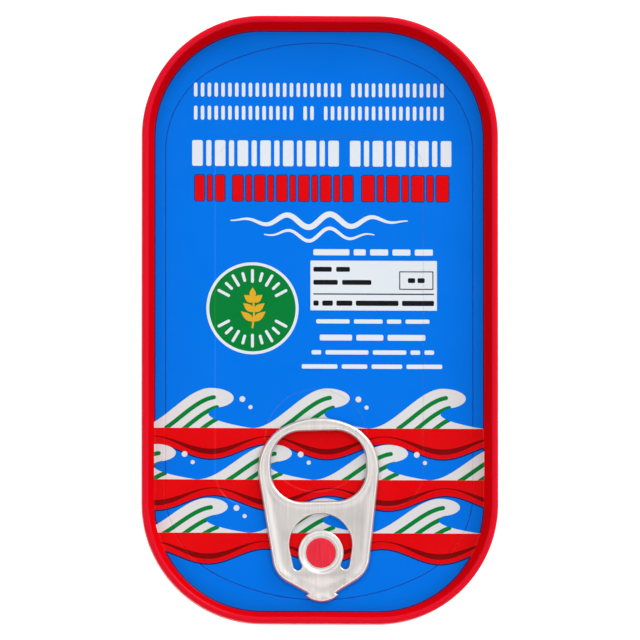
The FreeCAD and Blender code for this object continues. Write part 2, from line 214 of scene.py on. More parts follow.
def body_profile():
    """(inset, height) pairs from under the lid, down the wall and across the base."""
    profile = [(WALL_INSET + reach, SEAM_LOW + up) for reach, up in TURNED_IN]
    for part in WALL_PARTS:
        drop = part * SEAM_LOW
        profile.append((WALL_INSET + drop * math.tan(WALL_TAPER), SEAM_LOW - drop))
    middle = WALL_INSET + (SEAM_LOW - BASE_ROUND) * math.tan(WALL_TAPER) + BASE_ROUND
    for step in range(BASE_STEPS + 1):
        turn = WALL_TAPER + (math.pi / 2 - WALL_TAPER) * step / BASE_STEPS
        reach = BASE_ROUND * math.cos(turn), BASE_ROUND * math.sin(turn)
        profile.append((middle - reach[0], BASE_ROUND - reach[1]))
    ring_inside = WALL_INSET + SEAM_LOW * math.tan(WALL_TAPER) + STAND_WIDTH
    for step in range(STAND_STEPS + 1):
        part = step / STAND_STEPS
        profile.append((ring_inside - STAND_EDGE + STAND_STEP * part, BASE_SUNK * float(ease(part))))
    profile.append((ring_inside + BASE_FLAT, BASE_SUNK))
    return profile


# stoved enamel on the drawn wall: a satin red with a soft highlight
body_enamel = enamel("red_enamel_on_drawn_tinplate", "#cc0511", "#c4040e", 0.32, 0.16)
tin_body = make_piece("tin_body", *loft(body_profile()), body_enamel)
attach(tin_body, "root")
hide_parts("can_body")

# ---- double seam and chuck wall --------------------------------------------------------
# The lid's edge is rolled round the body's flange into a double seam with a round crown,
# and drops inside it to the panel as the chuck wall. Enamelled red down to the wall's foot,
# where the blue of the panel begins.

CROWN_ROUND, CROWN_STEPS = 0.5, 9
SEAM_FOOT, FOOT_STEPS = 0.35, 4
SEAM_TUCK, SEAM_DEEP = 0.05, 0.45  # foot of the seam, from just over the wall to inside it
SEAM_HOLLOW = ((0.25, 0.012), (0.5, 0.02), (0.75, 0.012))  # (part of its height, how deep)
SEAM_INSET = 1.05  # seam's inner face at the crown
PANEL = TOP - 4.0  # height of the panel
CHUCK_LEAN = math.radians(16.5)
CHUCK_FOOT = 0.35  # radius between the wall and the panel
FOOT_MIDDLE = (
    SEAM_INSET
    + (TOP - PANEL - CHUCK_FOOT) * math.tan(CHUCK_LEAN)
    + CHUCK_FOOT / math.cos(CHUCK_LEAN)
)
COLOUR_TURN, COLOUR_STEPS = math.radians(42), 3  # how far round that radius red ends
COLOUR_EDGE = FOOT_MIDDLE - CHUCK_FOOT * math.cos(COLOUR_TURN)
PLATE = 0.3
SEAM_LAP = 0.1  # the red piece ends this far under the blue one
WALL_STATIONS = (0.04, 0.3, 0.6, 0.9)  # rings down the chuck wall
MATT_IN, MATT_DOWN = 0.03, 0.3  # where the satin of the crown gives way to the matt wall


def foot_height(inset):
    """Height of the lid in the radius between chuck wall and panel."""
    across = np.clip(FOOT_MIDDLE - inset, 0, CHUCK_FOOT)
    return PANEL + CHUCK_FOOT - np.sqrt(CHUCK_FOOT**2 - across**2)


def box_distance(x, y, half_x, half_y, corner):
    """Distance out from a rectangle with round corners, negative inside it."""
    across, along = np.abs(x) - half_x + corner, np.abs(y) - half_y + corner
    outside = np.hypot(np.maximum(across, 0), np.maximum(along, 0))
    return outside + np.minimum(np.maximum(across, along), 0) - corner


def seam_profile():
    """(inset, height) pairs round the seam's section, from its lower edge over the crown."""
    profile = [(WALL_INSET + SEAM_TUCK, SEAM_LOW)]
    for step in range(FOOT_STEPS + 1):
        turn = math.pi / 2 * step / FOOT_STEPS
        profile.append(
            (SEAM_FOOT * (1 - math.sin(turn)), SEAM_LOW + SEAM_FOOT * (1 - math.cos(turn)))
        )
    # the seaming roll leaves the outside very slightly hollow
    low, high = SEAM_LOW + SEAM_FOOT, TOP - CROWN_ROUND
    for part, hollow in SEAM_HOLLOW:
        profile.append((hollow, low + (high - low) * part))
    for step in range(CROWN_STEPS + 1):
        turn = math.pi / 2 * step / CROWN_STEPS
        profile.append(
            (CROWN_ROUND * (1 - math.cos(turn)), TOP - CROWN_ROUND * (1 - math.sin(turn)))
        )
    inner = SEAM_INSET + CROWN_ROUND * math.tan(CHUCK_LEAN) - CROWN_ROUND / math.cos(CHUCK_LEAN)
    for step in range(CROWN_STEPS + 1):
        turn = math.pi / 2 + (CHUCK_LEAN - math.pi / 2) * step / CROWN_STEPS
        reach = CROWN_ROUND * math.cos(turn), CROWN_ROUND * math.sin(turn)
        profile.append((inner + reach[0], TOP - CROWN_ROUND + reach[1]))
    wall_end = FOOT_MIDDLE - CHUCK_FOOT * math.cos(CHUCK_LEAN)
    start, foot = profile[-1], (wall_end, float(foot_height(wall_end)))
    for part in WALL_STATIONS:
        profile.append(tuple(a + (b - a) * part for a, b in zip(start, foot)))
    for step in range(COLOUR_STEPS + 1):
        inset = wall_end + (COLOUR_EDGE - wall_end) * step / COLOUR_STEPS
        profile.append((inset, float(foot_height(inset))))
    profile.append((COLOUR_EDGE - PLATE, foot_height(COLOUR_EDGE) - SEAM_LAP))
    profile.append((WALL_INSET + SEAM_DEEP, SEAM_LOW))
    return profile


# one red enamel in two copies: the crown and outside keep a satin sheen and a little more blue, a
# painted pink sheen; the wall is matt and a purer, brighter red, painted light for the light it
# lacks
crown_enamel = enamel("satin_red_enamel_with_painted_sheen", "#de0421", "#d6031e", 0.36, 0.1)
wall_enamel = enamel("matt_red_enamel_painted_light_on_wall", "#e8040e", "#e0030c", 0.6, 0.0)
seam = make_piece("double_seam", *loft(seam_profile(), closed=True), crown_enamel)
seam.data.materials.append(wall_enamel)
# the wall's faces take the copy of the red with painted light
for face in seam.data.polygons:
    x, y, z = face.center / MM
    inset = -box_distance(x, y, HALF_X, HALF_Y, CORNER)
    if inset > SEAM_INSET + MATT_IN and z < TOP - MATT_DOWN:
        face.material_index = 1
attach(seam, "root")
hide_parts("lid")

# ---- lid panel ---------------------------------------------------------------------------
# Stamped sheet inside the chuck wall: scored all round for opening, its middle pressed down
# a little, with a shallow well for the fingertip under the end of the ring. The blue enamel
# and the print on it are laid on the flat sheet before stamping, so they follow its relief.

SCORE_X, SCORE_Y, SCORE_CORNER, SCORE_END = HALF_X - 4.17, HALF_Y - 4.37, 16.2, 38.9
SCORE_HALF, SCORE_DEPTH = 0.125, 0.1
SCORE_FLAT = 0.2  # flat bottom of the score, as a part of its half width
SCORE_SPACING = 0.8  # between the mesh's points along it
SUNK_X, SUNK_Y, SUNK_CORNER, SUNK_DEPTH = 18.1, 32.1, 6.0, 0.12
WELL, WELL_RADIUS, WELL_DEPTH = (-0.5, -20.6), 9.0, 0.08
STEP = 0.3  # width of the pressed steps
# lines that the mesh follows, beside the score in its half widths and across a pressed step
SCORE_LINES = (-1.6, -1, -0.8, -0.6, -0.4, -0.2, 0, 0.2, 0.4, 0.6, 0.8, 1, 1.6)
STEP_LINES = (-0.25, 0, 0.15, 0.3, 0.4, 0.5, 0.6, 0.7, 0.85, 1, 1.25)
EDGE_LINES, EDGE_BEYOND = 6, 0.08  # lines round the foot of the wall, and one inside it
WELL_STEPS = 160
POINTS_APART = 1e-5  # points nearer than this are one
SCORE_TURN = (  # middle of the score's corner arc
    SCORE_X - SCORE_CORNER,
    SCORE_Y - SCORE_END
    + math.sqrt((SCORE_END - SCORE_CORNER) ** 2 - (SCORE_X - SCORE_CORNER) ** 2),
)


def score_distance(x, y):
    """Distance out from the score line: straight sides, round corners and bowed ends."""
    x, y = np.abs(x), np.abs(y)
    end = np.hypot(x, y - SCORE_Y + SCORE_END) - SCORE_END
    corner = np.hypot(x - SCORE_TURN[0], y - SCORE_TURN[1]) - SCORE_CORNER
    slope = (SCORE_TURN[1] - SCORE_Y + SCORE_END) / SCORE_TURN[0]
    beyond = (y - SCORE_Y + SCORE_END) > slope * x
    return np.where(y < SCORE_TURN[1], x - SCORE_X, np.where(beyond, end, corner))


def panel_height(x, y):
    """Height of the lid's sheet anywhere inside the red of the chuck wall."""
    inset = -box_distance(x, y, HALF_X, HALF_Y, CORNER)
    z = foot_height(inset)
    z = z - SUNK_DEPTH * ease(-box_distance(x, y, SUNK_X, SUNK_Y, SUNK_CORNER) / STEP)
    z = z - WELL_DEPTH * ease((WELL_RADIUS - np.hypot(x - WELL[0], y - WELL[1])) / STEP)
    cut = np.abs(score_distance(x, y)) / SCORE_HALF
    return z - SCORE_DEPTH * (1 - ease((cut - SCORE_FLAT) / (1 - SCORE_FLAT)))


def circle(middle, radius, steps):
    turn = np.linspace(0, 2 * math.pi, steps, endpoint=False)
    return np.column_stack([middle[0] + radius * np.cos(turn), middle[1] + radius * np.sin(turn)])


def arc(middle, radius, first, last, spacing=0.3):
    """Points along an arc between two angles in radians, its last point left out."""
    steps = max(2, int(abs(last - first) * radius / spacing))
    turn = np.linspace(first, last, steps, endpoint=False)
    return np.column_stack([middle[0] + radius * np.cos(turn), middle[1] + radius * np.sin(turn)])


def four_fold(quarter):
    """A closed outline from its quarter in the +X +Y corner, run anticlockwise."""
    flip = quarter[::-1]
    return np.vstack([quarter, flip * (-1, 1), quarter * (-1, -1), flip * (1, -1)])


def box_outline(half_x, half_y, corner, spacing=0.3):
    quarter = arc((half_x - corner, half_y - corner), corner, 0, math.pi / 2, spacing)
    return four_fold(np.vstack([quarter, [(half_x - corner, half_y)]]))


def score_outline(grow):
    middle = (0, SCORE_Y - SCORE_END)
    meet = math.atan2(SCORE_TURN[1] - middle[1], SCORE_TURN[0])
    corner = arc(SCORE_TURN, SCORE_CORNER + grow, 0, meet, SCORE_SPACING)
    end = arc(middle, SCORE_END + grow, meet, math.pi / 2, SCORE_SPACING)
    return four_fold(np.vstack([corner, end]))


def divide(loops, fields, spots):
    """Triangles of the plane that keep to every loop and to the outline of every field.

    Returns the points, the triangles, and for each triangle the fields that it lies in.
    """
    points, edges, faces = [], [], []
    for outline in loops:
        first, size = len(points), len(outline)
        points += [Vector(point) for point in outline]
        edges += [(first + step, first + (step + 1) % size) for step in range(size)]
    for outline in fields:
        first = len(points)
        points += [Vector(point) for point in outline]
        faces.append(list(range(first, len(points))))
    points += [Vector(point) for point in spots]
    made = delaunay_2d_cdt(points, edges, faces, 0, POINTS_APART)
    return np.array([tuple(v) for v in made[0]]), np.array(made[2]), made[5]


def closed_sheet(triangles, plan, top, bottom):
    """Points and faces of a closed sheet over some triangles, between two sets of heights."""
    used, renamed = np.unique(triangles, return_inverse=True)
    triangles = renamed.reshape(-1, 3)
    size = len(used)
    points = [(*plan[number], top[number]) for number in used]
    points += [(*plan[number], bottom[number]) for number in used]
    faces = [(a, b, c) for a, b, c in triangles]
    faces += [(c + size, b + size, a + size) for a, b, c in triangles]
    sides = {(t[step], t[(step + 1) % 3]) for t in triangles.tolist() for step in range(3)}
    faces += [(b, a, a + size, b + size) for a, b in sides if (b, a) not in sides]
    return points, faces


def panel_loops():
    """Outlines that the panel's mesh follows: its edge, the score and the pressed steps."""
    loops = []
    insets = np.linspace(COLOUR_EDGE, FOOT_MIDDLE, EDGE_LINES)
    for inset in np.append(insets, FOOT_MIDDLE + EDGE_BEYOND):
        loops.append(np.array(tin_ring(inset, 0))[:, :2])
    for grow in SCORE_LINES:
        loops.append(score_outline(grow * SCORE_HALF))
    for part in STEP_LINES:
        inset = part * STEP
        loops.append(box_outline(SUNK_X - inset, SUNK_Y - inset, SUNK_CORNER - inset))
        loops.append(circle(WELL, WELL_RADIUS - inset, WELL_STEPS))
    return loops


SPOTS, SPOTS_CLEAR = 3.0, 0.5  # grid of loose points, and its distance from the wall's foot


def spaced_spots(spacing):
    """A loose grid of points over the panel, which keeps its triangles from getting long."""
    across = np.arange(-HALF_X + spacing, HALF_X, spacing)
    along = np.arange(-HALF_Y + spacing, HALF_Y, spacing)
    x, y = np.meshgrid(across, along)
    x, y = x.ravel(), y.ravel()
    inside = box_distance(x, y, HALF_X, HALF_Y, CORNER) < -FOOT_MIDDLE - SPOTS_CLEAR
    return np.column_stack([x, y])[inside]


# ---- print design ----------------------------------------------------------------------
# Offset print in flat inks, without lettering: rows of dashes and bars where a label's
# words go, a round badge with a sprig, a white table, and a band of waves across the end
# with the ring pull. A field prints over the fields before it.

INKS = {  # ink: (its colour, its colour where it lies thicker)
    "white": ("#dde3ea", "#d6dde4"),
    "wave_white": ("#d9d8d9", "#d2d2d4"),
    "red": ("#dc0006", "#d30006"),
    "dark_red": ("#7b0003", "#740003"),
    "green": ("#007c35", "#007631"),
    "yellow": ("#dea929", "#d6a226"),
    "navy": ("#10255f", "#0e2158"),
    "black": ("#17171b", "#131317"),
    # the dark foot band is a dark purple band round the panel at the wall's foot
    "dark_foot_band": ("#3c1058", "#380f53"),
    # score: not a lacquer, a darker blue painted along the score line as shade in its groove
    "score": ("#0058be", "#0054b8"),
}
SCORE_SHADE_HALF = 0.8  # half width of the darker blue painted along the score as shade in its groove, in half widths of the score
FOOT_BAND_WIDTH = 0.24  # width of the dark purple band round the panel at the wall's foot
fields = []  # (ink, the only ink it may print over or None, outline)


def field(ink, outline, only_over=None):
    outline = np.asarray(outline, float)
    x, y = outline[:, 0], outline[:, 1]
    if np.sum(x * np.roll(y, -1) - y * np.roll(x, -1)) < 0:
        outline = outline[::-1]
    fields.append((ink, only_over, outline))


def bar(ink, left, right, low, high, corner=0.3, grow=0.0):
    """A bar with round corners."""
    half_x, half_y = (right - left) / 2 + grow, (high - low) / 2 + grow
    corner = min(corner + grow, half_x * 0.98, half_y * 0.98)
    outline = box_outline(half_x, half_y, corner, 0.12)
    field(ink, outline + ((left + right) / 2, (low + high) / 2))


def stroke(ink, path, width, only_over=None):
    """A line of ink with round ends along a path; width may change along it."""
    path = np.asarray(path, float)
    half = np.broadcast_to(np.asarray(width, float) / 2, len(path))
    run = np.gradient(path, axis=0)
    run /= np.hypot(run[:, 0], run[:, 1])[:, None]
    aside = np.column_stack([-run[:, 1], run[:, 0]]) * half[:, None]
    caps = []
    for point, ahead, reach in ((path[-1], run[-1], half[-1]), (path[0], -run[0], half[0])):
        start = math.atan2(ahead[1], ahead[0])
        turn = start + np.linspace(-math.pi / 2, math.pi / 2, 8)[1:-1]
        caps.append(point + reach * np.column_stack([np.cos(turn), np.sin(turn)]))
    field(ink, np.vstack([path - aside, caps[0], (path + aside)[::-1], caps[1]]), only_over)


# dark purple band round the panel at the wall's foot, and a darker blue painted along the score line
# as shade in its groove
field("dark_foot_band", np.array(tin_ring(COLOUR_EDGE, 0))[:, :2])
field(None, np.array(tin_ring(COLOUR_EDGE + FOOT_BAND_WIDTH, 0))[:, :2])
field("score", score_outline(SCORE_SHADE_HALF * SCORE_HALF))
field(None, score_outline(-SCORE_SHADE_HALF * SCORE_HALF))

# two rows of small upright dashes at the far end, each in two or three runs
DASH_PITCH, DASH_HALF, DASH_RISE, DASH_REACH = 1.18, 0.3, 1.22, 21.3
PRINT_CORNER = 0.28
DASH_ROWS = ((40.0, (22,)), (36.0, (15, 18)))  # (middle of the row, dashes left out)
for middle, gaps in DASH_ROWS:
    for number in range(int(2 * DASH_REACH / DASH_PITCH) + 1):
        x = number * DASH_PITCH - DASH_REACH
        if number not in gaps:
            low, high = middle - DASH_RISE, middle + DASH_RISE
            bar("white", x - DASH_HALF, x + DASH_HALF, low, high, PRINT_CORNER)

# two heavy rows of upright bars, wide and narrow by turns, white and then red with a thin
# dark edge
BAR_WIDE, BAR_NARROW, BAR_GAP = 1.95, 0.95, 0.6
RED_CORNER, RED_EDGE = 0.25, 0.16


def upright_bars(left, right, low, high, draw):
    """Fill a stretch with wide and narrow bars that end flush with it, a wide one at each end."""
    pairs = round((right - left - BAR_WIDE) / (BAR_WIDE + BAR_NARROW + 2 * BAR_GAP))
    widths = [BAR_WIDE, BAR_NARROW] * pairs + [BAR_WIDE]
    stretch = (right - left - BAR_GAP * (len(widths) - 1)) / sum(widths)
    x = left
    for width in widths:
        draw(x, x + width * stretch, low, high)
        x += width * stretch + BAR_GAP


def white_bar(left, right, low, high):
    bar("white", left, right, low, high, PRINT_CORNER)


def edged_bar(left, right, low, high):
    bar("navy", left, right, low, high, RED_CORNER, grow=RED_EDGE)
    bar("red", left, right, low, high, RED_CORNER)


for left, right in ((-21.9, 3.4), (5.3, 22.8)):
    upright_bars(left, right, 26.8, 31.25, white_bar)
for left, right in ((-21.4, -16.3), (-14.9, 5.8), (7.4, 22.3)):
    upright_bars(left, right, 20.8, 25.2, edged_bar)

# two wavy lines across the middle, one under the other, thin at their ends
WAVY_HALF, WAVY_RISE, WAVY_TURN, WAVY_END = 15.2, 1.15, 0.84, 0.2
WAVY_LINES = ((17.4, 1.0, 0.8), (15.0, 0.62, 0.42))  # (along the tin, part of the length, swell)
along = np.linspace(-WAVY_HALF, WAVY_HALF, 140)
swell = np.sin((along + WAVY_HALF) / (2 * WAVY_HALF) * math.pi)
for rise, reach, width in WAVY_LINES:
    wavy = rise + WAVY_RISE * swell * np.sin(along * reach * WAVY_TURN)
    stroke("white", np.column_stack([along * reach, wavy]), WAVY_END + width * swell)


def word_row(ink, left, right, middle, thick, words, gap=0.75):
    """A row of thin bars, as long as words of so many letters, that fills a stretch."""
    unit = (right - left - gap * (len(words) - 1)) / sum(words)
    x = left
    for letters in words:
        bar(ink, x, x + letters * unit, middle - thick / 2, middle + thick / 2, 0.2)
        x += letters * unit + gap


word_row("white", -1.0, 19.6, 11.95, 1.05, (6, 2, 3, 3, 3))
word_row("white", -0.5, 19.0, 0.0, 0.72, (7, 6, 3, 5))
word_row("white", 0.1, 18.3, -2.8, 1.0, (6, 5, 7))
word_row("white", -1.3, 19.8, -5.35, 0.74, (2, 9, 7, 2, 2))
word_row("white", -3.0, 21.2, -7.8, 0.74, (7, 5, 6, 7))

# white table with its dark rows, a dividing line and a small ruled cell
bar("white", -1.5, 20.3, 1.9, 10.5, 0.12)
word_row("black", -1.0, 5.3, 9.0, 0.85, (4, 3))
word_row("black", -1.0, 9.0, 6.75, 0.85, (5, 6))
bar("black", -1.0, 19.8, 4.62, 4.84, 0.05)
word_row("black", -1.0, 19.8, 3.15, 0.9, (1, 2, 3, 8, 6), 0.6)
bar("black", 13.8, 19.7, 5.5, 8.7, 0.08)
bar("white", 13.98, 19.52, 5.68, 8.52, 0.05)
word_row("black", 15.3, 18.2, 7.1, 0.85, (2, 2), 0.4)

# round badge: white edge, green ground, two arcs of white drops and a yellow sprig
BADGE, BADGE_RADIUS, BADGE_EDGE = np.array((-11.5, 2.2)), 7.95, 0.5
DROP_RING, DROP_TURN, DROP_WIDE = 5.6, 0.27, 0.5
DROP_LONG, DROP_SHORT = 0.95, 0.62  # half lengths
field("white", circle(BADGE, BADGE_RADIUS, 120))
field("green", circle(BADGE, BADGE_RADIUS - BADGE_EDGE, 120))
for side in (1, -1):
    for number in range(9):
        turn = side * (math.pi / 2 + (number - 4) * DROP_TURN)
        ray = np.array((math.cos(turn), math.sin(turn)))
        reach = DROP_SHORT if number % 2 else DROP_LONG
        drop = [BADGE + ray * (DROP_RING + end) for end in (-reach, 0, reach)]
        stroke("white", drop, DROP_WIDE)


def leaf(root, turn, length, width):
    """A pointed leaf from its root, along a direction in radians."""
    part = np.linspace(0, 1, 14)
    belly = width / 2 * np.sin(math.pi * part**0.8)
    ray = np.array((math.cos(turn), math.sin(turn)))
    aside = np.array((-ray[1], ray[0]))
    spine = root + length * part[:, None] * ray
    sides = spine - belly[:, None] * aside, (spine + belly[:, None] * aside)[-2:0:-1]
    field("yellow", np.vstack(sides))


stem = BADGE + np.column_stack([0.25 * np.sin(np.linspace(0, 3, 20)), np.linspace(-3.3, 1.9, 20)])
stroke("yellow", stem, 0.32)
LEAF_LEAN, LEAF_LONG, LEAF_SHORTER, LEAF_WIDE = 38, 2.7, 0.35, 1.15
for number in range(3):
    for lean in (LEAF_LEAN, 180 - LEAF_LEAN):
        long = LEAF_LONG - number * LEAF_SHORTER
        leaf(stem[4 + number * 6], math.radians(lean), long, LEAF_WIDE)
leaf(stem[-1] - (0, 0.2), math.radians(90), 1.9, 1.1)

# three rows of breaking waves, every other row half a wave on: white crests with green
# ripples over a red swell, which a dark line follows along its lower edge
WAVE_ROWS = (  # (foot along the tin, rise, start of the first wave across)
    (-18.5, 6.9, -31.5), (-27.4, 6.1, -41.0), (-36.6, 6.0, -32.0),
)
WAVE_LENGTH, WAVE_PEAK = 20.0, 12.8
WAVE_LIP, LIP_REACH = 0.25, 2.3  # height of the lip as a part of the rise, and its length to that
TROUGH_GAP = 0.12  # between the whites of two waves
RIPPLE_STEP, RIPPLE_WIDE = np.array((1.2, -1.55)), 0.74
SWELL_DEEP, SWELL_ROLL, SWELL_REACH, SWELL_LINE = 4.1, 1.3, 32, 0.26
SHADE_RISE, SHADE_WIDE, SHADE_MORE = 1.35, 0.55, 0.4  # dark red over the low edge, wider in dips
SPRAY = ((1.5, -0.5, 0.5), (2.9, -1.9, 0.36))  # (across, up, radius) of drops beyond a lip


def wave_back(left, base, rise):
    """Long back of a wave, from its trough up to its peak."""
    part = np.linspace(0, 1, 40)
    return np.column_stack([left + WAVE_PEAK * part, base + rise * ease(part)])


def wave(left, base, rise):
    """Outline of one wave from trough to trough: its back, a curling lip and a hollow face."""
    lip = WAVE_LIP * rise
    turn = np.linspace(math.pi / 2, -1.0, 20)[1:]
    curl = np.column_stack(
        [left + WAVE_PEAK + LIP_REACH * lip * np.cos(turn), base + rise - lip + lip * np.sin(turn)]
    )
    part = np.linspace(0, 1, 24)[1:]
    run, fall = left + WAVE_LENGTH - TROUGH_GAP - curl[-1][0], curl[-1][1] - base
    face_x = curl[-1][0] + run * part**1.5 - 0.52 * rise * np.sin(math.pi * part**0.8)
    face = np.column_stack([face_x, base + fall * (1 - part) ** 1.15])
    return np.vstack([wave_back(left, base, rise), curl, face])


def swell_line(base, crest):
    """Rolling lower edge of a red swell, high over a crest of the row below."""
    x = np.linspace(-SWELL_REACH, SWELL_REACH, 160)
    roll = np.cos((x - crest) * 2 * math.pi / WAVE_LENGTH)
    return np.column_stack([x, base - SWELL_DEEP + SWELL_ROLL * roll])


for base, rise, shift in WAVE_ROWS:
    lefts = [shift + WAVE_LENGTH * number for number in range(4)]
    low_edge = swell_line(base, shift + WAVE_PEAK + WAVE_LENGTH / 2)
    field("red", np.vstack([low_edge, [(SWELL_REACH, base), (-SWELL_REACH, base)]]))
    stroke("navy", low_edge, SWELL_LINE)
    belly = (base - SWELL_DEEP - low_edge[:, 1]) / SWELL_ROLL
    stroke("dark_red", low_edge + (0, SHADE_RISE), SHADE_WIDE + SHADE_MORE * belly, "red")
    for left in lefts:
        field("wave_white", wave(left, base, rise))
        for number in (1, 2, 3):
            ripple = wave_back(left, base, rise)[12 : 40 - 2 * number] + number * RIPPLE_STEP
            stroke("green", ripple, RIPPLE_WIDE, "wave_white")
        tip = left + WAVE_PEAK + LIP_REACH * WAVE_LIP * rise
        for across, up, radius in SPRAY:
            if tip + across < HALF_X - 5:
                field("wave_white", circle((tip + across, base + rise * 0.8 + up), radius, 24))

# ---- lid panel and print, made -------------------------------------------------------------
# One stamped sheet and the ink on it. The mesh follows the outline of every ink as well as
# the relief, so each ink is a thin film over its own part of the sheet and takes its form.

panel_edge = np.array(tin_ring(COLOUR_EDGE, 0))[:, :2]
plan, triangles, inside = divide(
    panel_loops(), [panel_edge] + [outline for _, _, outline in fields], spaced_spots(SPOTS)
)
on_panel = np.array([0 in found for found in inside])
height = panel_height(plan[:, 0], plan[:, 1])
underside = np.full(len(plan), PANEL - PLATE)
# glossier than the red, so the pressed steps and the score stand out as bright and dark lines
blue_enamel = enamel("blue_enamel_on_tinplate", "#0072e4", "#006edd", 0.24, 0.14)
panel = make_piece(
    "lid_panel", *closed_sheet(triangles[on_panel], plan, height, underside), blue_enamel
)
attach(panel, "root")
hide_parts("lid")

INK_THICK, INK_SINK = 0.012, 0.02
topmost = []
for found, kept in zip(inside, on_panel):
    ink = None
    for number in sorted(found):
        if number and kept:
            printed, only_over, _ = fields[number - 1]
            if only_over in (None, ink):
                ink = printed
    topmost.append(ink)
topmost = np.array(topmost, object)
for ink, (colour, deeper) in INKS.items():
    chosen = triangles[topmost == ink]
    film = closed_sheet(chosen, plan, height + INK_THICK, height - INK_SINK)
    printed = make_piece("print_" + ink, *film, enamel(ink + "_ink", colour, deeper, 0.28, 0.14))
    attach(printed, "root")

# ---- rivet ---------------------------------------------------------------------------------
# Raised from the lid's own sheet through the pull and headed flat over it, so it carries the
# lid's red lacquer, thinned by the stretching until the brushed metal shines through.

RIVET = (0.27, -40.06)
RIVET_PROFILE = [  # (radius, height over the panel)
    (1.5, -0.05), (1.5, 0.42), (1.55, 0.5), (2.45, 0.5), (2.57, 0.55), (2.6, 0.66),
    (2.58, 0.8), (2.53, 0.86), (2.44, 0.89), (2.2, 0.9), (1.6, 0.893), (0.8, 0.885),
]
RIVET_STEPS = 96
SCRATCH, SCRATCH_LONG = 0.28, 0.06  # their distance apart, and that over their length


def brushed_lacquer(name, colour, deeper):
    """Clear red lacquer over brushed sheet, which shows as streaks of lighter and darker red.

    The scratches run along the tin. They are drawn coarser than real ones, so that they show.
    """
    material = new_material(name)
    place = add(material, "TexCoord", {}, {}).outputs["Object"]
    grain = add(material, "Mapping", {"Scale": (1, SCRATCH_LONG, 1)}, {"Vector": place})
    lines = add(
        material,
        "TexNoise",
        {"Scale": 1 / (SCRATCH * MM), "Detail": 3},
        {"Vector": grain.outputs[0]},
    )
    tone = add(
        material,
        "Mix",
        {"data_type": "RGBA", 6: linear(colour), 7: linear(deeper)},
        {0: lines.outputs["Fac"]},
    )
    relief = add(
        material,
        "Bump",
        {"Strength": 0.4, "Distance": 0.004 * MM},
        {"Height": lines.outputs["Fac"]},
    )
    surface = add(
        material,
        "BsdfPrincipled",
        {"Metallic": 0.3, "Roughness": 0.42, "Specular IOR Level": 0.3},
        {"Base Color": tone.outputs[2], "Normal": relief.outputs["Normal"]},
    )
    add(material, "OutputMaterial", {}, {"Surface": surface.outputs["BSDF"]})
    return material


def turned(profile, middle, base, steps):
    """A solid of revolution about an upright axis."""
    points, faces = [], []
    for radius, z in profile:
        points += [(x, y, base + z) for x, y in circle(middle, radius, steps)]
    for ring in range(len(profile) - 1):
        low, high = ring * steps, (ring + 1) * steps
        for step in range(steps):
            after = (step + 1) % steps
            faces.append((low + step, low + after, high + after, high + step))
    faces += [tuple(range(steps)), tuple(range(len(points) - steps, len(points)))]
    return points, faces


rivet = make_piece(
    "rivet",
    *turned(RIVET_PROFILE, RIVET, PANEL, RIVET_STEPS),
    brushed_lacquer("red_lacquer_on_brushed_aluminium", "#ff3248", "#c8122a"),
)
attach(rivet, "root")
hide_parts("lid")

# ---- ring pull -----------------------------------------------------------------------------
# Blanked from brushed aluminium sheet and curled under all round, outside and in the finger
# hole, so that it feels smooth. A slot leaves the rivet's island hanging on at the nose,
# which is bent down, with crimps in its curl. The rivet goes through it, with no bore drawn.

PULL_TURN = math.radians(1.6)
PULL_THICK = (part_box("tab")[1].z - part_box("tab")[0].z) / MM
TOP_ARC, TOP_END = 13.0, 23.3
SHOULDER, SHOULDER_X = 8.45, 2.0
HIP, HIP_MIDDLE = 5.1, (3.35, -0.6)
NOTCH = (2.45, -6.98)
NOSE_TIP, NOSE_RADIUS, NOSE_HALF = -8.5, 4.15, 2.9
HOLE_X, HOLE_Y, HOLE_CORNER, HOLE_ALONG = 8.2, 6.08, 5.3, 14.97
SLOT_RADIUS, SLOT_MIDDLE, SLOT_END, SLOT_END_Y = 5.4, 1.4, 0.72, -2.2
ISLAND = 3.92
DISH_FLOOR, DISH_RIM, DISH_SLOPE = 0.75, 3.72, 0.85  # its slope runs inwards from the rim
DISH_LINES = (2.75, 2.87, 2.97, 3.07, 3.17, 3.27, 3.37, 3.47, 3.57, 3.65)
CURL, SLOT_ROUND = 0.5, 0.25
WEB_SLOPE = 1.3  # over which the sheet sinks to the web
WEB_DROP = 0.15  # web and middle of the ring below the crest of the curl
NOSE_DROP = 0.45  # nose pressed down, over NOSE_BEND
NOSE_BEND = (-3.6, 3.0)  # where it starts to bend and over how far
EDGE_THICK = 0.12  # thinnest that pressing leaves the edge
PULL_CLEAR = 0.03  # under the pull
DIMPLE_X, DIMPLE_Y, DIMPLE_WIDE, DIMPLE_DEEP = 4.1, -4.7, 0.5, 0.07
CRIMP_IN, CRIMP_WIDE, CRIMP_DEEP = 0.55, 0.18, 0.07
CRIMP_START, CRIMP_BLEND = -6.0, 0.8  # where they begin towards the nose, and over how far
CRIMP_MIDDLE, CRIMP_COUNT = -3.0, 17.0  # what they fan out from, and how many to a full turn
PULL_SPOTS = 0.45


def touch_angle(first, first_radius, second, second_radius):
    """Direction in which a line touches two circles on their right-hand side."""
    across, along = first[0] - second[0], first[1] - second[1]
    lean = math.acos((second_radius - first_radius) / math.hypot(across, along))
    return math.atan2(along, across) + lean


def mirror_closed(right):
    """A closed anticlockwise outline from its right-hand half, which runs upwards."""
    return np.vstack([right, right[::-1] * (-1, 1)])


def straight(start, end, spacing=0.3):
    steps = max(1, int(math.dist(start, end) / spacing))
    return np.linspace(start, end, steps, endpoint=False)


def on_circle(middle, radius, turn):
    return (middle[0] + radius * math.cos(turn), middle[1] + radius * math.sin(turn))


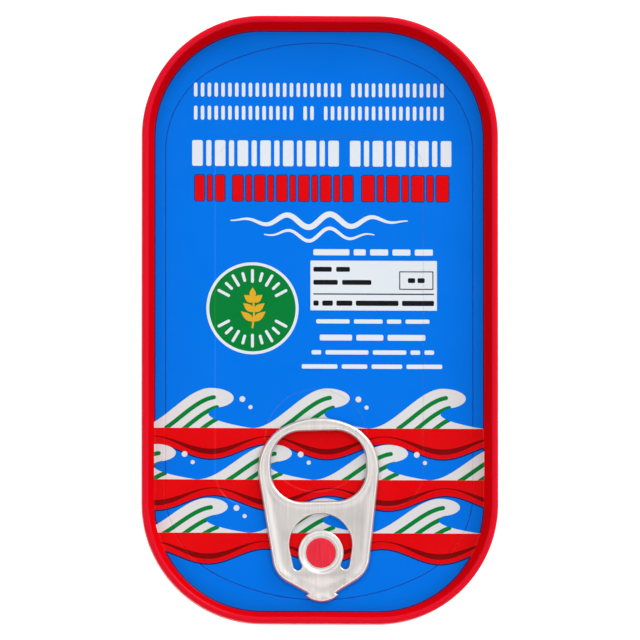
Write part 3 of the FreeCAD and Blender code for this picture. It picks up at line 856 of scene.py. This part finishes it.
def pull_outline():
    nose = (0, NOSE_TIP + NOSE_RADIUS)
    nose_turn = math.asin(NOSE_HALF / NOSE_RADIUS) - math.pi / 2
    top = (0, TOP_END - TOP_ARC)
    shoulder = (SHOULDER_X, top[1] + math.sqrt((TOP_ARC - SHOULDER) ** 2 - SHOULDER_X**2))
    slope = touch_angle(NOTCH, 0, HIP_MIDDLE, HIP)
    lean = touch_angle(HIP_MIDDLE, HIP, shoulder, SHOULDER)
    meet = math.atan2(shoulder[1] - top[1], shoulder[0])
    right = [
        arc(nose, NOSE_RADIUS, -math.pi / 2 + 0.02, nose_turn, 0.2),
        straight(on_circle(nose, NOSE_RADIUS, nose_turn), NOTCH, 0.15),
        straight(NOTCH, on_circle(HIP_MIDDLE, HIP, slope), 0.25),
        arc(HIP_MIDDLE, HIP, slope, lean),
        straight(on_circle(HIP_MIDDLE, HIP, lean), on_circle(shoulder, SHOULDER, lean), 0.6),
        arc(shoulder, SHOULDER, lean, meet),
        arc(top, TOP_ARC, meet, math.pi / 2 - 0.01),
    ]
    return mirror_closed(np.vstack(right))


def slot_outline():
    end = (math.sqrt((ISLAND + SLOT_END) ** 2 - SLOT_END_Y**2), SLOT_END_Y)
    outer = (0, SLOT_MIDDLE)
    meet = math.atan2(end[1], end[0])
    lean = touch_angle(end, SLOT_END, outer, SLOT_RADIUS)
    right = [
        arc((0, 0), ISLAND, math.pi / 2 - 0.02, meet, 0.25),
        arc(end, SLOT_END, math.pi + meet, 2 * math.pi + lean, 0.15),
        straight(on_circle(end, SLOT_END, lean), on_circle(outer, SLOT_RADIUS, lean), 0.3),
        arc(outer, SLOT_RADIUS, lean, math.pi / 2 - 0.02, 0.25),
    ]
    return mirror_closed(np.vstack(right))


def distance_to(outline, points):
    """Distance of each point from a closed outline."""
    nearest = np.full(len(points), np.inf)
    for start, end in zip(outline, np.roll(outline, -1, axis=0)):
        run = end - start
        part = np.clip((points - start) @ run / (run @ run), 0, 1)
        nearest = np.minimum(nearest, np.hypot(*(points - start - part[:, None] * run).T))
    return nearest


def inward(outline, reach):
    """The outline moved to its left by a distance."""
    run = np.roll(outline, -1, axis=0) - np.roll(outline, 1, axis=0)
    run /= np.hypot(run[:, 0], run[:, 1])[:, None]
    return outline + reach * np.column_stack([-run[:, 1], run[:, 0]])


outline, slot = pull_outline(), slot_outline()
hole = box_outline(HOLE_X, HOLE_Y, HOLE_CORNER) + (0, HOLE_ALONG)
curl_loops = [CURL * (1 - math.cos(math.radians(turn))) for turn in range(0, 91, 15)]
curl_loops += [0.62, 0.76, 0.9, 1.04]  # and on down the slope to the web
loops = [inward(outline, reach) for reach in curl_loops]
loops += [inward(hole[::-1], reach) for reach in curl_loops]
slot_loops = [SLOT_ROUND * (1 - math.cos(math.radians(turn))) for turn in range(0, 91, 18)]
slot_loops.append(0.32)
loops += [inward(slot[::-1], reach) for reach in slot_loops]
for radius in DISH_LINES:
    loops.append(circle((0, 0), radius, 96))
x, y = np.meshgrid(np.arange(-10, 10.1, PULL_SPOTS), np.arange(-8.2, 23, PULL_SPOTS))
pull_plan, pull_triangles, pull_inside = divide(
    loops, [outline, hole, slot], np.column_stack([x.ravel(), y.ravel()])
)
on_pull = np.array([0 in found and 1 not in found and 2 not in found for found in pull_inside])
pull_triangles = pull_triangles[on_pull]
from_edge = distance_to(outline, pull_plan)
from_curl = np.minimum(from_edge, distance_to(hole, pull_plan))
from_slot = distance_to(slot, pull_plan)
x, y = pull_plan.T
from_rivet = np.hypot(x, y)


def quarter_round(reach, radius):
    """How far a rounded edge falls below the surface at a distance from its outside."""
    reach = np.clip(reach, 0, radius)
    return radius - np.sqrt(np.clip(radius**2 - (radius - reach) ** 2, 0, None))


fall = quarter_round(from_curl, CURL)
top = PULL_THICK - fall - WEB_DROP * ease((from_curl - CURL) / WEB_SLOPE)
top -= quarter_round(from_slot, SLOT_ROUND)
# shallow dish round the rivet
dish = ease((DISH_RIM - from_rivet) / DISH_SLOPE)
top = top * (1 - dish) + DISH_FLOOR * dish
# the nose bends down a little, with dimples beside it and crimps in its curl
top -= NOSE_DROP * ease((NOSE_BEND[0] - y) / NOSE_BEND[1])
for dimple_x in (-DIMPLE_X, DIMPLE_X):
    from_dimple = np.hypot(x - dimple_x, y - DIMPLE_Y)
    top -= DIMPLE_DEEP * np.exp(-(from_dimple**2) / DIMPLE_WIDE)
nose_turn = np.arctan2(x, CRIMP_MIDDLE - y)
crimp = np.exp(-((from_edge - CRIMP_IN) ** 2) / CRIMP_WIDE)
crimp *= ease((CRIMP_START - y) / CRIMP_BLEND)
top -= crimp * CRIMP_DEEP * (1 + np.cos(nose_turn * CRIMP_COUNT)) / 2
bottom = np.minimum(PULL_CLEAR + fall, top - EDGE_THICK)
z_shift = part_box("tab")[0].z / MM
cos, sin = math.cos(PULL_TURN), math.sin(PULL_TURN)
pull_place = np.column_stack([RIVET[0] + x * cos - y * sin, RIVET[1] + x * sin + y * cos])


GRAIN, GRAIN_LONG = 0.3, 0.035  # its distance apart, and that over its length
CLOUD_WIDE = 5.0  # patches of rougher and smoother metal


def brushed_aluminium(name, colour, deeper):
    """Brushed aluminium: fine grain along the tin, which streaks what it reflects.

    The grain is drawn about ten times as coarse as the real one, so that it shows, and the
    metal is a little rougher or smoother in patches.
    """
    material = new_material(name)
    place = add(material, "TexCoord", {}, {}).outputs["Object"]
    grain = add(material, "Mapping", {"Scale": (1, GRAIN_LONG, 0.3)}, {"Vector": place})
    lines = add(
        material,
        "TexNoise",
        {"Scale": 1 / (GRAIN * MM), "Detail": 4, "Roughness": 0.65},
        {"Vector": grain.outputs[0]},
    )
    cloud = add(
        material, "TexNoise", {"Scale": 1 / (CLOUD_WIDE * MM), "Detail": 3}, {"Vector": place}
    )
    tone = add(
        material,
        "Mix",
        {"data_type": "RGBA", 6: linear(colour), 7: linear(deeper)},
        {0: lines.outputs["Fac"]},
    )
    relief = add(
        material,
        "Bump",
        {"Strength": 0.35, "Distance": 0.006 * MM},
        {"Height": lines.outputs["Fac"]},
    )
    gloss = add(
        material,
        "MapRange",
        {"From Min": 0.3, "From Max": 0.7, "To Min": 0.39, "To Max": 0.47},
        {"Value": cloud.outputs["Fac"]},
    )
    surface = add(
        material,
        "BsdfPrincipled",
        {"Metallic": 1.0},
        {
            "Base Color": tone.outputs[2],
            "Roughness": gloss.outputs["Result"],
            "Normal": relief.outputs["Normal"],
        },
    )
    add(material, "OutputMaterial", {}, {"Surface": surface.outputs["BSDF"]})
    return material


pull = make_piece(
    "ring_pull",
    *closed_sheet(pull_triangles, pull_place, top + z_shift, bottom + z_shift),
    brushed_aluminium("brushed_aluminium", "#f4efec", "#ccc7c3"),
)
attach(pull, "root")
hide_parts("tab")

# ---- table, lights and camera --------------------------------------------------------------
# White acrylic table lit a little from below, in a light tent: bright round the dark opening
# overhead, which the camera looks through, and much dimmer from there down to the table,
# with a low window of stronger light beyond the tin's +X +Y corner.

floor_material = new_material("lit_white_acrylic")
place = add(floor_material, "TexCoord", {}, {}).outputs["Object"]
MOTTLE = 50.0
mottle = add(
    floor_material, "TexNoise", {"Scale": 1 / (MOTTLE * MM), "Detail": 3}, {"Vector": place}
)
tone = add(
    floor_material,
    "Mix",
    {"data_type": "RGBA", 6: linear("#f6f6f6"), 7: linear("#f4f4f3")},
    {0: mottle.outputs["Fac"]},
)
surface = add(
    floor_material,
    "BsdfPrincipled",
    {"Roughness": 0.8, "Emission Color": (1, 1, 1, 1), "Emission Strength": 0.56},
    {"Base Color": tone.outputs[2]},
)
add(floor_material, "OutputMaterial", {}, {"Surface": surface.outputs["BSDF"]})
FLOOR_HALF, FLOOR_THICK = 6000.0, 20
FLOOR_CORNERS = ((-1, -1), (1, -1), (1, 1), (-1, 1))
floor = make_piece(
    "table",
    [(x * FLOOR_HALF, y * FLOOR_HALF, z) for z in (-FLOOR_THICK, 0) for x, y in FLOOR_CORNERS],
    [(0, 1, 2, 3), (4, 5, 6, 7), (0, 1, 5, 4), (1, 2, 6, 5), (2, 3, 7, 6), (3, 0, 4, 7)],
    floor_material,
)

TENT = (  # (degrees from overhead, brightness)
    (0, 0.04), (17, 0.04), (21, 1.77), (43, 1.77), (50, 0.45), (66, 0.45), (73, 0.55), (90, 0.5),
)
TENT_STRENGTH = 2.0
world = bpy.data.worlds.new("light_tent")
bpy.context.scene.world = world
world.use_nodes = True
world.node_tree.nodes.clear()
ray = add(world, "TexCoord", {}, {})
upward = add(world, "SeparateXYZ", {}, {"Vector": ray.outputs["Generated"]})
ramp = add(world, "ValToRGB", {}, {"Fac": upward.outputs["Z"]})
stops = ramp.color_ramp.elements
while len(stops) < len(TENT):
    stops.new(0.5)
for stop, (turn, brightness) in zip(stops, reversed(TENT)):
    stop.position = math.cos(math.radians(turn))
    stop.color = (*[brightness / TENT_STRENGTH] * 3, 1)
glow = add(world, "Background", {"Strength": TENT_STRENGTH}, {"Color": ramp.outputs["Color"]})
add(world, "OutputWorld", {}, {"Surface": glow.outputs["Background"]})

WINDOW_REACH, WINDOW_SIZE, WINDOW_POWER = 1.6, 0.7, 13.0
WINDOW_RISE, WINDOW_TURN = math.radians(19), math.radians(54)
window = bpy.data.lights.new("window", "AREA")
window.shape = "SQUARE"
window.size = WINDOW_SIZE
window.energy = WINDOW_POWER
window_lamp = bpy.data.objects.new("window", window)
aim = Vector((
    math.cos(WINDOW_RISE) * math.cos(WINDOW_TURN),
    math.cos(WINDOW_RISE) * math.sin(WINDOW_TURN),
    math.sin(WINDOW_RISE),
))
window_lamp.location = aim * WINDOW_REACH
window_lamp.rotation_mode = "QUATERNION"
window_lamp.rotation_quaternion = aim.to_track_quat("Z", "Y")
window_lamp.visible_camera = False
bpy.context.collection.objects.link(window_lamp)

CAMERA_REACH, FRAME_WIDTH, SENSOR = 4.0, 0.1101, 36.0
CAMERA_LEAN = (math.radians(-2.6), math.radians(-5.1))
AIM = Vector((-0.044, -0.14, TOP)) * MM
camera = bpy.data.cameras.new("camera")
camera.sensor_width = SENSOR
camera.lens = SENSOR * CAMERA_REACH / FRAME_WIDTH
camera.clip_end = 20
back = Vector((math.tan(CAMERA_LEAN[0]), math.tan(CAMERA_LEAN[1]), 1)).normalized()
right = Vector((0, 1, 0)).cross(back).normalized()
turn = Matrix((right, back.cross(right), back)).transposed()
camera_object = bpy.data.objects.new("camera", camera)
camera_object.matrix_world = Matrix.Translation(AIM + back * CAMERA_REACH) @ turn.to_4x4()
bpy.context.collection.objects.link(camera_object)
bpy.context.scene.camera = camera_object
bpy.context.scene.view_settings.view_transform = "Standard"
